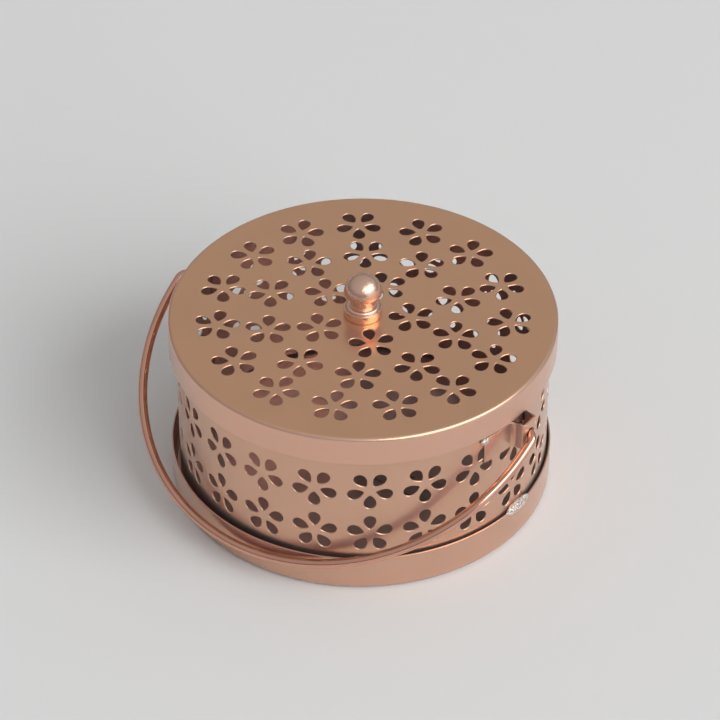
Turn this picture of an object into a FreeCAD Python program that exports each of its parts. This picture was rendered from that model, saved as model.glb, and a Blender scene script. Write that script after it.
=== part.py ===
import FreeCAD, Part
import math
import os

import Sketcher
from FreeCAD import Placement, Rotation, Vector

# Mosquito coil holder: a pierced round box of thin sheet metal with a wire bail.
# The origin is the middle of the dish's underside, +Z is up, and the bail's pivot axis lies along X.
# All lengths are in millimetres and all angles in degrees.

SIZES = {
    # Sheet metal and the clearances between pieces
    "sheet_wall": 0.6,
    "seat_gap": 0.05,
    "overrun": 2.0,

    # Pierced band, the upright wall of the box
    "band_radius": 70.8,
    "band_height": 71.15,
    "lap_width": 8.0,

    # Dish that the band stands in, off centre so that one side of the band meets the rim
    "dish_room": 1.7,
    "rim_gap": 0.8,
    "dish_height": 15.1,
    "dish_bend": 2.0,

    # Five-petal flower, struck by the same die in the band and in the lid
    "petal_count": 5,
    "petal_inner": 2.6,
    "petal_length": 6.0,
    "petal_width": 4.4,

    # Two rows of flowers round the band, each the other's mirror image
    "rows_middle": 36.35,
    "row_pitch": 21.2,
    "column_count": 21,
    "column_pitch": 16.8,
    "column_start": 190.95,

    # Lid, with three rings of flowers
    "lid_room": 2.1,
    "lid_depth": 12.0,
    "lid_bend": 1.4,
    "inner_ring_radius": 18.4,
    "inner_ring_count": 5,
    "inner_ring_start": 28.9,
    "inner_ring_pitch": 72.0,
    "middle_ring_radius": 37.0,
    "middle_ring_count": 10,
    "middle_ring_start": 89.2,
    "middle_ring_pitch": 35.7,
    "outer_ring_radius": 55.3,
    "outer_ring_count": 15,
    "outer_ring_start": 128.3,
    "outer_ring_pitch": 23.85,

    # Knob, turned from solid bar
    "knob_foot_radius": 7.3,
    "knob_foot_height": 3.4,
    "knob_ring_radius": 6.7,
    "knob_ring_height": 1.4,
    "knob_neck_radius": 4.6,
    "knob_neck_top": 8.6,
    "knob_brim_radius": 6.8,
    "knob_brim_height": 9.4,
    "knob_dome_radius": 7.2,
    "knob_dome_height": 10.2,
    "knob_bore_depth": 9.0,

    # Screw and washer that hold the knob from below
    "screw_radius": 1.6,
    "screw_clearance": 0.05,
    "screw_reach": 8.0,
    "screw_head_radius": 3.0,
    "screw_head_height": 2.0,
    "lid_hole_clearance": 0.5,
    "washer_radius": 5.0,
    "washer_height": 0.8,

    # Ears: hat sections of thicker sheet that hold the bail's ends
    "ear_wall": 0.8,
    "ear_depth": 6.0,
    "ear_width": 8.1,
    "ear_height": 11.5,
    "ear_foot": 47.65,
    "ear_spread": 15.0,
    "ear_bend": 1.2,
    "pivot_clearance": 0.6,

    # Bail, one bent wire
    "wire_radius": 1.8,
    "bail_bend": 3.2,
    "bail_leg": 1.0,
    "bail_gap": 0.35,
    "bail_play": 8.8,
    "pin_gap": 1.5,
    "bail_stop_gap": 1.0,
    "wire_end_round": 0.6,

    # Solder between rim and band, and at the ends of the ears
    "tack_length": 16.0,
    "tack_width": 3.8,
    "tack_height": 5.0,
    "tack_start": 0.5,
    "tack_step": 57.0,
    "spot_length": 4.4,
    "spot_width": 1.8,
    "spot_height": 3.6,
    "spot_drop": 1.0,

    # Stand that the coil hangs on, and its rivets
    "stand_wall": 0.8,
    "stand_width": 12.0,
    "stand_short_arm": 20.0,
    "stand_long_arm": 44.0,
    "tongue_width": 6.0,
    "tongue_shoulder": 23.0,
    "tongue_top": 30.0,
    "tongue_tip_width": 2.6,
    "stand_corner": 3.0,
    "slot_gap": 0.2,
    "rivet_inset": 7.0,
    "rivet_radius": 1.2,
    "rivet_head_radius": 2.4,
    "rivet_head_height": 1.0,
}

# Half outline of one petal: how far along the petal, and how wide there, as shares of its length and width
PETAL_SHARES = ((0.0, 0.0), (0.33, 0.36), (0.67, 0.5), (1.0, 0.2))

# Two points that are nearer than this are the same point
SAME_POINT = 0.0001

doc = FreeCAD.newDocument("coil_holder")
sheet = doc.addObject("Spreadsheet::Sheet", "sizes")


class Size:
    """A number together with the sheet expression that gives it."""

    def __init__(self, text, value):
        self.text = text
        self.value = value

    def __add__(self, other):
        other = as_size(other)
        return Size(f"({self.text} + {other.text})", self.value + other.value)

    def __sub__(self, other):
        other = as_size(other)
        return Size(f"({self.text} - {other.text})", self.value - other.value)

    def __mul__(self, other):
        other = as_size(other)
        return Size(f"({self.text} * {other.text})", self.value * other.value)

    def __truediv__(self, other):
        other = as_size(other)
        return Size(f"({self.text} / {other.text})", self.value / other.value)

    def __neg__(self):
        return Size(f"(0 - {self.text})", -self.value)


def as_size(number):
    """A Size as it is, or a plain number as a Size."""
    if isinstance(number, Size):
        return number
    return Size(repr(number), number)


def cosine(angle):
    return Size(f"cos({angle.text})", math.cos(math.radians(angle.value)))


def sine(angle):
    return Size(f"sin({angle.text})", math.sin(math.radians(angle.value)))


def square_root(size):
    return Size(f"sqrt({size.text})", math.sqrt(size.value))


def other_leg(hypotenuse, leg):
    """The second short side of a right triangle."""
    return square_root(hypotenuse * hypotenuse - leg * leg)


def fill_sheet():
    """Write every size into the sheet and return them by name."""
    named = {}
    for row, (name, value) in enumerate(SIZES.items(), 1):
        sheet.set(f"A{row}", name)
        sheet.set(f"B{row}", str(value))
        sheet.setAlias(f"B{row}", name)
        named[name] = Size(f"sizes.{name}", value)
    doc.recompute()
    return type("Sizes", (), named)


s = fill_sheet()

# Places that several pieces share
dish_inner = s.band_radius + s.dish_room
dish_outer = dish_inner + s.sheet_wall
band_shift = s.dish_room - s.rim_gap
band_foot = s.dish_bend
band_inner = s.band_radius - s.sheet_wall
band_top = band_foot + s.band_height
lid_inner = s.band_radius + s.lid_room
lid_outer = lid_inner + s.sheet_wall
lid_top = band_top + s.sheet_wall
ear_reach = s.band_radius + s.ear_depth
ear_flange_inner = s.band_radius + s.seat_gap
ear_flange_outer = ear_flange_inner + s.ear_wall
pivot_height = s.ear_foot + s.ear_height / 2
screw_bore = s.screw_radius + s.screw_clearance
stand_top = s.sheet_wall + s.stand_wall
punch_depth = s.overrun + s.sheet_wall + s.overrun
rivet_hole = s.rivet_radius + s.seat_gap
rivet_places = (s.rivet_inset - s.stand_short_arm, s.stand_long_arm - s.rivet_inset)


def new_body(name):
    body = doc.addObject("PartDesign::Body", name)
    body.Label = name
    return body


def origin_part(body, role):
    """A plane or an axis of the body's own origin."""
    return next(part for part in body.Origin.OriginFeatures if part.Role == role)


def place(thing, x=0, y=0, z=0, axis=None, turn=None):
    """Bind a placement to sizes: a shift, and a turn about one axis."""
    if axis is not None:
        thing.Placement = Placement(Vector(), Rotation(axis, turn.value))
        thing.setExpression(".Placement.Rotation.Angle", turn.text)
    for letter, size in zip("xyz", (x, y, z)):
        thing.setExpression(f".Placement.Base.{letter}", as_size(size).text)


def new_sketch(body, plane, name, x=0, y=0, z=0, axis=None, turn=None):
    """A sketch on one of the body's origin planes, shifted and turned in that plane's own frame."""
    sketch = body.newObject("Sketcher::SketchObject", name)
    sketch.AttachmentSupport = [(origin_part(body, plane), "")]
    sketch.MapMode = "FlatFace"
    if axis is not None:
        sketch.AttachmentOffset = Placement(Vector(), Rotation(axis, turn.value))
        sketch.setExpression(".AttachmentOffset.Rotation.Angle", turn.text)
    for letter, size in zip("xyz", (x, y, z)):
        sketch.setExpression(f".AttachmentOffset.Base.{letter}", as_size(size).text)
    return sketch


def constrain(sketch, constraint, size=None):
    index = sketch.addConstraint(constraint)
    if size is not None:
        sketch.setExpression(f"Constraints[{index}]", size.text)


def pin_point(sketch, edge, end, x, y):
    """Hold one end of an edge at x, y. A coordinate of zero puts it on the sketch's axis."""
    for kind, axis, size in (("DistanceX", -2, x), ("DistanceY", -1, y)):
        if isinstance(size, Size):
            constrain(sketch, Sketcher.Constraint(kind, -1, 1, edge, end, size.value), size)
        else:
            constrain(sketch, Sketcher.Constraint("PointOnObject", edge, end, axis))


def arc_between(start, end, radius, left):
    """The short arc from start to end, with its centre on the left or on the right of the way there."""
    middle = (start + end) * 0.5
    chord = end - start
    rise = math.sqrt(max(radius ** 2 - (chord.Length / 2) ** 2, 0))
    side = Vector(-chord.y, chord.x, 0).normalize() * (1 if left else -1)
    centre = middle + side * rise
    first, last = (start, end) if left else (end, start)
    angles = [math.atan2(point.y - centre.y, point.x - centre.x) for point in (first, last)]
    circle = Part.Circle(centre, Vector(0, 0, 1), radius)
    return Part.ArcOfCircle(circle, angles[0], angles[1])


def outline(sketch, corners, arcs=None, closed=True):
    """Draw edges through the corners. arcs gives the edges that are round: index: (radius, left)."""
    arcs = arcs or {}
    points = [Vector(as_size(x).value, as_size(y).value, 0) for x, y in corners]
    edges = []
    for index in range(len(corners) if closed else len(corners) - 1):
        start, end = points[index], points[(index + 1) % len(points)]
        if index in arcs:
            radius, left = arcs[index]
            edge = sketch.addGeometry(arc_between(start, end, radius.value, left), False)
            constrain(sketch, Sketcher.Constraint("Radius", edge, radius.value), radius)
            edges.append((edge, 1, 2) if left else (edge, 2, 1))
        else:
            edge = sketch.addGeometry(Part.LineSegment(start, end), False)
            edges.append((edge, 1, 2))
    for index, (edge, first, last) in enumerate(edges):
        pin_point(sketch, edge, first, *corners[index])
        following = edges[(index + 1) % len(edges)]
        if closed or index + 1 < len(edges):
            constrain(sketch, Sketcher.Constraint("Coincident", edge, last, following[0], following[1]))
        else:
            pin_point(sketch, edge, last, *corners[-1])


def circle(sketch, x, y, radius):
    centre = Vector(as_size(x).value, as_size(y).value, 0)
    edge = sketch.addGeometry(Part.Circle(centre, Vector(0, 0, 1), radius.value), False)
    pin_point(sketch, edge, 3, x, y)
    constrain(sketch, Sketcher.Constraint("Radius", edge, radius.value), radius)


def turned(body, name, corners, arcs=None):
    """Revolve a half section of radius and height about the body's Z axis."""
    sketch = new_sketch(body, "XZ_Plane", name + "_section")
    outline(sketch, corners, arcs)
    revolution = body.newObject("PartDesign::Revolution", name)
    revolution.Profile = sketch
    revolution.ReferenceAxis = (sketch, ["V_Axis"])
    revolution.Angle = 360
    doc.recompute()
    return revolution


def pad(body, name, sketch, length):
    feature = body.newObject("PartDesign::Pad", name)
    feature.Profile = sketch
    feature.setExpression("Length", length.text)
    doc.recompute()
    return feature


def pocket(body, name, sketch, length):
    """Cut along the sketch's normal, and make sure that something went."""
    before = body.Shape.Volume
    feature = body.newObject("PartDesign::Pocket", name)
    feature.Profile = sketch
    feature.Reversed = True
    feature.setExpression("Length", length.text)
    doc.recompute()
    if not feature.Shape.Volume < before:
        raise RuntimeError(f"{name} cuts nothing")
    return feature


def ring_edges(feature, places):
    """Names of the feature's circular edges at the given radii and heights."""
    names = []
    for number, edge in enumerate(feature.Shape.Edges, 1):
        for radius, height in places:
            if (isinstance(edge.Curve, Part.Circle)
                    and abs(edge.Curve.Radius - radius.value) < SAME_POINT
                    and abs(edge.Curve.Center.z - height.value) < SAME_POINT):
                names.append(f"Edge{number}")
    return names


def upright_edges(feature, places):
    """Names of the feature's vertical edges at the given places in plan."""
    names = []
    for number, edge in enumerate(feature.Shape.Edges, 1):
        ends = [vertex.Point for vertex in edge.Vertexes]
        if len(ends) != 2 or math.hypot(ends[0].x - ends[1].x, ends[0].y - ends[1].y) > SAME_POINT:
            continue
        for x, y in places:
            if math.hypot(ends[0].x - as_size(x).value, ends[0].y - as_size(y).value) < SAME_POINT:
                names.append(f"Edge{number}")
    return names


def fillet(body, name, base, edges, radius):
    if not edges:
        raise RuntimeError(f"{name} finds no edge")
    feature = body.newObject("PartDesign::Fillet", name)
    feature.Base = (base, edges)
    feature.setExpression("Radius", radius.text)
    doc.recompute()
    return feature


def quarter_turned(x, y, turns):
    """A point turned about the origin by so many right angles."""
    for _ in range(turns % 4):
        x, y = -y, x
    return x, y


def petal_outline(turns):
    """Corners of one petal that points along x, turned by so many right angles."""
    there = [(s.petal_inner + s.petal_length * along, s.petal_width * wide) for along, wide in PETAL_SHARES]
    back = [(x, -y) for x, y in reversed(there[1:])]
    corners = [(there[0][0], as_size(0.0))] + there[1:] + back
    return [quarter_turned(x, y, turns) for x, y in corners]


def flower_die(name, plane, turns, height):
    """The punches of one flower: a petal, repeated round the flower's middle."""
    body = new_body(name)
    body.AllowCompound = True
    sketch = new_sketch(body, plane, name + "_petal_outline", z=height)
    outline(sketch, petal_outline(turns))
    petal = pad(body, name + "_petal", sketch, punch_depth)
    flower = body.newObject("PartDesign::PolarPattern", name + "_flower")
    flower.Originals = [petal]
    flower.Axis = (sketch, ["N_Axis"])
    flower.Angle = 360
    flower.setExpression("Occurrences", s.petal_count.text)
    body.Tip = flower
    doc.recompute()
    return body


def strike(name, wall, die, places):
    """Cut the die's flower from the wall at every place."""
    punches = doc.addObject("Part::Feature", name + "_punches")
    solids = []
    for where in places:
        flower = die.Shape.copy()
        flower.Placement = where
        solids.extend(flower.Solids)
    punches.Shape = Part.makeCompound(solids)
    pierced = doc.addObject("Part::Cut", name)
    pierced.Label = name
    pierced.Base = wall
    pierced.Tool = punches
    doc.recompute()
    if not pierced.Shape.Volume < wall.Shape.Volume:
        raise RuntimeError(f"{name} has no flowers")
    return pierced


def make_dish():
    """Shallow tray with a bent foot and two holes for the stand's rivets."""
    body = new_body("dish")
    tray = turned(body, "dish_tray", [
        (0, 0), (dish_outer, 0), (dish_outer, s.dish_height), (dish_inner, s.dish_height),
        (dish_inner, s.sheet_wall), (0, s.sheet_wall)])
    outside = ring_edges(tray, [(dish_outer, as_size(0))])
    outer_bend = fillet(body, "dish_outer_bend", tray, outside, s.dish_bend)
    inside = ring_edges(outer_bend, [(dish_inner, s.sheet_wall)])
    fillet(body, "dish_inner_bend", outer_bend, inside, s.dish_bend - s.sheet_wall)
    holes = new_sketch(body, "XY_Plane", "dish_rivet_holes_plan", z=-s.overrun)
    for place_x in rivet_places:
        circle(holes, place_x, 0, rivet_hole)
    pocket(body, "dish_rivet_holes", holes, punch_depth)
    return body


def make_band():
    """Pierced band with a lapped seam behind the left ear."""
    body = new_body("band_blank")
    plan = new_sketch(body, "XY_Plane", "band_plan", z=band_foot)
    circle(plan, 0, 0, s.band_radius)
    circle(plan, 0, 0, band_inner)
    pad(body, "band_wall", plan, s.band_height)
    lap = new_sketch(body, "XY_Plane", "band_lap_plan", z=band_foot)
    half_lap = s.lap_width / 2
    lap_outer = band_inner + s.sheet_wall / 2
    lap_inner = band_inner - s.sheet_wall
    outline(lap, [
        (-other_leg(lap_outer, half_lap), half_lap), (-other_leg(lap_outer, half_lap), -half_lap),
        (-other_leg(lap_inner, half_lap), -half_lap), (-other_leg(lap_inner, half_lap), half_lap)],
        {0: (lap_outer, True), 2: (lap_inner, False)})
    pad(body, "band_lap", lap, s.band_height)

    # The die's flower has one petal straight down, and half a turn gives the lower row's
    die = flower_die("band_die", "YZ_Plane", 3, band_inner - s.overrun)
    places = []
    for rise, half_turns in ((s.row_pitch / 2, 0), (-s.row_pitch / 2, 1)):
        height = s.rows_middle + rise
        flip = Rotation(Vector(1, 0, 0), 180 * half_turns)
        for column in range(s.column_count.value):
            angle = s.column_start + s.column_pitch * column
            spin = Rotation(Vector(0, 0, 1), angle.value)
            places.append(Placement(Vector(0, 0, height.value), spin * flip))
    band = strike("body_band", body, die, places)
    place(band, x=band_shift)
    return band


def make_lid_shell():
    """Flat lid with a skirt over the band, a hole for the knob's screw and three rings of flowers."""
    body = new_body("lid_blank")
    skirt_foot = lid_top - s.lid_depth
    shell = turned(body, "lid_press", [
        (0, band_top), (lid_inner, band_top), (lid_inner, skirt_foot),
        (lid_outer, skirt_foot), (lid_outer, lid_top), (0, lid_top)])
    outside = ring_edges(shell, [(lid_outer, lid_top)])
    outer_bend = fillet(body, "lid_outer_bend", shell, outside, s.lid_bend)
    inside = ring_edges(outer_bend, [(lid_inner, band_top)])
    fillet(body, "lid_inner_bend", outer_bend, inside, s.lid_bend - s.sheet_wall)
    hole = new_sketch(body, "XY_Plane", "lid_hole_plan", z=band_top - s.overrun)
    circle(hole, 0, 0, s.screw_radius + s.lid_hole_clearance)
    pocket(body, "lid_hole", hole, punch_depth)

    # The die's flower has one petal towards the lid's middle
    die = flower_die("lid_die", "XY_Plane", 2, band_top - s.overrun)
    rings = (
        (s.inner_ring_radius, s.inner_ring_start, s.inner_ring_pitch, s.inner_ring_count),
        (s.middle_ring_radius, s.middle_ring_start, s.middle_ring_pitch, s.middle_ring_count),
        (s.outer_ring_radius, s.outer_ring_start, s.outer_ring_pitch, s.outer_ring_count))
    places = []
    for radius, start, pitch, count in rings:
        for index in range(count.value):
            spin = Rotation(Vector(0, 0, 1), start.value + pitch.value * index)
            places.append(Placement(spin.multVec(Vector(radius.value, 0, 0)), spin))
    lid = strike("lid_shell", body, die, places)
    place(lid, x=band_shift)
    return lid


def make_knob():
    """Turned knob: foot, rounded ring, neck, brim and a domed top, bored for its screw."""
    body = new_body("knob")
    place(body, x=band_shift, z=lid_top)
    ring_top = s.knob_foot_height + s.knob_ring_height
    ring_neck = s.knob_ring_radius - s.knob_ring_height
    dome_top = s.knob_dome_height + s.knob_dome_radius
    turned(body, "knob_turning", [
        (screw_bore, 0), (s.knob_foot_radius, 0), (s.knob_foot_radius, s.knob_foot_height),
        (s.knob_ring_radius, s.knob_foot_height), (ring_neck, ring_top), (s.knob_neck_radius, ring_top),
        (s.knob_neck_radius, s.knob_neck_top), (s.knob_brim_radius, s.knob_brim_height),
        (s.knob_dome_radius, s.knob_dome_height), (0, dome_top),
        (0, s.knob_bore_depth), (screw_bore, s.knob_bore_depth)],
        {3: (s.knob_ring_height, True), 8: (s.knob_dome_radius, True)})
    return body


def make_knob_washer():
    body = new_body("knob_washer")
    place(body, x=band_shift, z=band_top - s.washer_height)
    plan = new_sketch(body, "XY_Plane", "washer_plan")
    circle(plan, 0, 0, s.washer_radius)
    circle(plan, 0, 0, screw_bore)
    pad(body, "washer_disc", plan, s.washer_height)
    return body


def make_knob_screw():
    """Pan head screw, with its head under the washer."""
    body = new_body("knob_screw")
    seat = band_top - s.washer_height
    place(body, x=band_shift, z=seat)
    tip = s.washer_height + s.sheet_wall + s.screw_reach
    head = turned(body, "screw_turning", [
        (0, -s.screw_head_height), (s.screw_head_radius, -s.screw_head_height), (s.screw_head_radius, 0),
        (s.screw_radius, 0), (s.screw_radius, tip), (0, tip)])
    crown = ring_edges(head, [(s.screw_head_radius, -s.screw_head_height)])
    fillet(body, "screw_crown", head, crown, s.screw_head_height / 2)
    return body


def make_ear(name, turn):
    """Hat section whose flanges lie on the band and whose box holds one end of the bail."""
    body = new_body(name)
    place(body, x=band_shift, axis=Vector(0, 0, 1), turn=as_size(turn))
    outer_half = s.ear_width / 2
    inner_half = outer_half - s.ear_wall
    box_outer = ear_reach
    box_inner = ear_reach - s.ear_wall
    end_x, end_y = cosine(s.ear_spread), sine(s.ear_spread)
    outer_root = other_leg(ear_flange_outer, outer_half)
    inner_root = other_leg(ear_flange_inner, inner_half)
    plan = new_sketch(body, "XY_Plane", name + "_plan", z=s.ear_foot)
    outline(plan, [
        (ear_flange_outer * end_x, -ear_flange_outer * end_y), (outer_root, -outer_half),
        (box_outer, -outer_half), (box_outer, outer_half), (outer_root, outer_half),
        (ear_flange_outer * end_x, ear_flange_outer * end_y),
        (ear_flange_inner * end_x, ear_flange_inner * end_y), (inner_root, inner_half),
        (box_inner, inner_half), (box_inner, -inner_half), (inner_root, -inner_half),
        (ear_flange_inner * end_x, -ear_flange_inner * end_y)],
        {0: (ear_flange_outer, True), 4: (ear_flange_outer, True),
         6: (ear_flange_inner, False), 10: (ear_flange_inner, False)})
    hat = pad(body, name + "_hat", plan, s.ear_height)
    corners = [(box_outer, outer_half), (box_outer, -outer_half)]
    bends = fillet(body, name + "_outer_bends", hat, upright_edges(hat, corners), s.ear_bend)
    corners = [(box_inner, inner_half), (box_inner, -inner_half)]
    inner_bend = s.ear_bend - s.ear_wall
    fillet(body, name + "_inner_bends", bends, upright_edges(bends, corners), inner_bend)
    hole = new_sketch(body, "YZ_Plane", name + "_pivot_hole_plan")
    circle(hole, 0, pivot_height, s.wire_radius + s.pivot_clearance)
    pocket(body, name + "_pivot_hole", hole, ear_reach + s.overrun)
    return body


def make_bail():
    """Wire bent to a half circle, with both ends turned in to the pivot axis."""
    body = new_body("bail_handle")
    right_leg = band_shift + ear_reach + s.bail_gap + s.wire_radius
    left_leg = band_shift - ear_reach - s.bail_play - s.wire_radius
    radius = (right_leg - left_leg) / 2
    middle = (right_leg + left_leg) / 2
    right_tip = band_shift + s.band_radius + s.pin_gap
    left_tip = band_shift - s.band_radius - s.pin_gap
    drop = s.bail_bend + s.bail_leg
    reach = drop + radius
    level = dish_outer + s.bail_stop_gap + s.wire_radius
    tilt = Size(f"acos({(level / reach).text})", math.degrees(math.acos((level / reach).value)))
    place(body, z=pivot_height, axis=Vector(1, 0, 0), turn=tilt)
    route = new_sketch(body, "XY_Plane", "bail_route")
    outline(route, [
        (right_tip, 0), (right_leg - s.bail_bend, 0), (right_leg, -s.bail_bend), (right_leg, -drop),
        (middle, -reach), (left_leg, -drop), (left_leg, -s.bail_bend), (left_leg + s.bail_bend, 0),
        (left_tip, 0)],
        {1: (s.bail_bend, False), 3: (radius, False), 4: (radius, False), 6: (s.bail_bend, False)},
        closed=False)
    section = new_sketch(body, "YZ_Plane", "bail_section", z=right_tip)
    circle(section, 0, 0, s.wire_radius)
    wire = body.newObject("PartDesign::AdditivePipe", "bail_wire")
    wire.Profile = section
    wire.Spine = route
    doc.recompute()
    ends = [f"Edge{number}" for number, edge in enumerate(wire.Shape.Edges, 1)
            if isinstance(edge.Curve, Part.Circle)
            and abs(edge.Curve.Radius - s.wire_radius.value) < SAME_POINT
            and min(abs(edge.Curve.Center.x - tip.value) for tip in (right_tip, left_tip)) < SAME_POINT]
    fillet(body, "bail_ends", wire, ends, s.wire_end_round)
    return body


def cylinder(name, radius, height, x=0, z=0, axis=None, turn=None, sweep=None):
    thing = doc.addObject("Part::Cylinder", name)
    thing.setExpression("Radius", radius.text)
    thing.setExpression("Height", height.text)
    if sweep is not None:
        thing.setExpression("Angle", sweep.text)
    place(thing, x=x, z=z, axis=axis, turn=turn)
    return thing


def lump(name, angle, ring_x, ring_radius, height, length, width, tall):
    """An ellipsoid at an angle round a ring: length along the ring, width out from it, and height."""
    thing = doc.addObject("Part::Ellipsoid", name)
    thing.setExpression("Radius1", (tall / 2).text)
    thing.setExpression("Radius2", (width / 2).text)
    thing.setExpression("Radius3", (length / 2).text)
    place(thing, x=ring_x + ring_radius * cosine(angle), y=ring_radius * sine(angle), z=height,
          axis=Vector(0, 0, 1), turn=angle)
    return thing


def cut(name, base, tool):
    thing = doc.addObject("Part::Cut", name)
    thing.Base = base
    thing.Tool = tool
    doc.recompute()
    return thing


def group(name, members):
    thing = doc.addObject("Part::Compound", name)
    thing.Label = name
    thing.Links = members
    doc.recompute()
    return thing


def make_solder_tacks():
    """Two lumps that lie on the rim and run up the band, beside the right ear."""
    tacks = []
    for index in range(2):
        name = f"tack_{index + 1}"
        angle = s.tack_start + s.tack_step * index
        if angle.value > 360:
            angle = angle - 360
        blob = lump(name + "_blob", angle, as_size(0.0), dish_inner + s.sheet_wall / 2, s.dish_height,
                    s.tack_length, s.tack_width, s.tack_height)
        rim = cylinder(name + "_rim_space", dish_outer + s.seat_gap, s.dish_height + s.seat_gap)
        wall = cylinder(name + "_band_space", s.band_radius + s.seat_gap, lid_top, x=band_shift)
        tacks.append(cut(name, cut(name + "_on_rim", blob, rim), wall))
    return group("solder_tacks", tacks)


def make_ear_solder():
    """One lump at an upper flange corner of each ear."""
    spots = []
    for side, turn in (("right", as_size(0)), ("left", as_size(180))):
        name = f"ear_solder_{side}"
        angle = as_size(360) - s.ear_spread if side == "right" else turn - s.ear_spread
        blob = lump(name + "_blob", angle, band_shift, ear_flange_outer,
                    s.ear_foot + s.ear_height - s.spot_drop, s.spot_length, s.spot_width, s.spot_height)
        sweep = (s.ear_spread + s.ear_spread * s.seat_gap / ear_flange_outer) * 2
        flange = cylinder(name + "_flange_space", ear_flange_outer + s.seat_gap, s.ear_height,
                          x=band_shift, z=s.ear_foot, axis=Vector(0, 0, 1),
                          turn=as_size(360) + turn - sweep / 2 if side == "right" else turn - sweep / 2,
                          sweep=sweep)
        wall = cylinder(name + "_band_space", s.band_radius + s.seat_gap, lid_top, x=band_shift)
        spots.append(cut(name, cut(name + "_on_flange", blob, flange), wall))
    return group("ear_solder", spots)


def make_coil_stand():
    """Strip on the dish floor with a pointed tongue struck from it and bent upright."""
    body = new_body("coil_stand")
    half = s.stand_width / 2
    plan = new_sketch(body, "XY_Plane", "stand_plan", z=s.sheet_wall)
    outline(plan, [(-s.stand_short_arm, -half), (s.stand_long_arm, -half),
                   (s.stand_long_arm, half), (-s.stand_short_arm, half)])
    strip = pad(body, "stand_strip", plan, s.stand_wall)
    corners = [(x, y) for x in (-s.stand_short_arm, s.stand_long_arm) for y in (-half, half)]
    fillet(body, "stand_corners", strip, upright_edges(strip, corners), s.stand_corner)

    # The tongue and the slot that it leaves have one outline, laid flat or upright
    def tongue_outline(gap):
        wide = s.tongue_width / 2 + gap
        narrow = s.tongue_tip_width / 2 + gap
        return [(as_size(0.0), -wide), (s.tongue_shoulder, -wide), (s.tongue_shoulder, -narrow),
                (s.tongue_top + gap, as_size(0.0)), (s.tongue_shoulder, narrow), (s.tongue_shoulder, wide),
                (as_size(0.0), wide)]

    slot = new_sketch(body, "XY_Plane", "stand_slot_plan", x=s.stand_wall, z=s.sheet_wall - s.overrun)
    outline(slot, tongue_outline(s.slot_gap))
    pocket(body, "stand_slot", slot, s.overrun + s.stand_wall + s.overrun)
    upright = new_sketch(body, "YZ_Plane", "stand_tongue_outline", y=s.sheet_wall)
    outline(upright, [quarter_turned(x, y, 1) for x, y in tongue_outline(as_size(0.0))])
    pad(body, "stand_tongue", upright, s.stand_wall)
    holes = new_sketch(body, "XY_Plane", "stand_rivet_holes_plan", z=s.sheet_wall - s.overrun)
    for place_x in rivet_places:
        circle(holes, place_x, 0, rivet_hole)
    pocket(body, "stand_rivet_holes", holes, s.overrun + s.stand_wall + s.overrun)
    return body


def make_stand_rivets():
    """Round-headed rivets through the stand and the dish floor, flush underneath."""
    rivets = []
    for index, place_x in enumerate(rivet_places, 1):
        body = new_body(f"rivet_{index}")
        place(body, x=place_x)
        rise = s.rivet_head_height
        radius = (s.rivet_head_radius * s.rivet_head_radius + rise * rise) / (rise * 2)
        turned(body, f"rivet_{index}_turning", [
            (0, 0), (s.rivet_radius, 0), (s.rivet_radius, stand_top), (s.rivet_head_radius, stand_top),
            (0, stand_top + rise)], {3: (radius, True)})
        rivets.append(body)
    return group("stand_rivets", rivets)


sub_parts = [
    make_dish(), make_band(), make_lid_shell(), make_knob(), make_knob_washer(), make_knob_screw(),
    make_ear("ear_right", 0), make_ear("ear_left", 180), make_bail(),
    make_solder_tacks(), make_ear_solder(), make_coil_stand(), make_stand_rivets()]

doc.recompute()
for thing in doc.Objects:
    if "Invalid" in thing.State or "Error" in thing.State:
        raise RuntimeError(f"{thing.Label} is {thing.State}")
for sub_part in sub_parts:
    if sub_part.Shape.isNull() or not sub_part.Shape.isValid():
        raise RuntimeError(f"{sub_part.Label} has no valid shape")

os.makedirs("parts", exist_ok=True)
for sub_part in sub_parts:
    sub_part.Shape.exportStep(f"parts/{sub_part.Label}.step")
    print(sub_part.Label, len(sub_part.Shape.Solids), "solids", round(sub_part.Shape.Volume, 1), "mm3")
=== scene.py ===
import math
from bisect import bisect_left

import bpy
from mathutils import Matrix, Vector, geometry, noise


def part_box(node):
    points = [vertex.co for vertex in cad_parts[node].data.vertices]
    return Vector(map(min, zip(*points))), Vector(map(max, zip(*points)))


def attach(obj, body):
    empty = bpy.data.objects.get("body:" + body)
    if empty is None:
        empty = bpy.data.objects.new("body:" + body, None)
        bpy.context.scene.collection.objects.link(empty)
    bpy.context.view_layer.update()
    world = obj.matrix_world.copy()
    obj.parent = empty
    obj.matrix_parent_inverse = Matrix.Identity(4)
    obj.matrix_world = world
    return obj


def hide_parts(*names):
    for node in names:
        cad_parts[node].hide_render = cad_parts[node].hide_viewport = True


# Mosquito coil holder: a pierced round box of copper-coloured sheet metal with a knob and a wire bail.
# Lengths are written in millimetres and become metres where the meshes are made.

MM = 0.001
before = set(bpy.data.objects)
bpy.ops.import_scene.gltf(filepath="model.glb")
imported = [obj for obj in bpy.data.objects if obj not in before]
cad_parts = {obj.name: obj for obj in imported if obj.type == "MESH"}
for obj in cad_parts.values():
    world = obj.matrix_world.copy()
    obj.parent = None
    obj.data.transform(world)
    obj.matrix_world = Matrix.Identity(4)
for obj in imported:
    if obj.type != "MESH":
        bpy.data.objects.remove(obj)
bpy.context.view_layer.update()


def box_mm(node):
    """Lowest and highest corner of a CAD node, in millimetres."""
    low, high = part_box(node)
    return [value / MM for value in low], [value / MM for value in high]


# Sizes read from the frame
band_low, band_high = box_mm("body_band")
lid_low, lid_high = box_mm("lid_shell")
dish_low, dish_high = box_mm("dish")
ear_low, ear_high = box_mm("ear_right")
bail_low, bail_high = box_mm("bail_handle")

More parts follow.
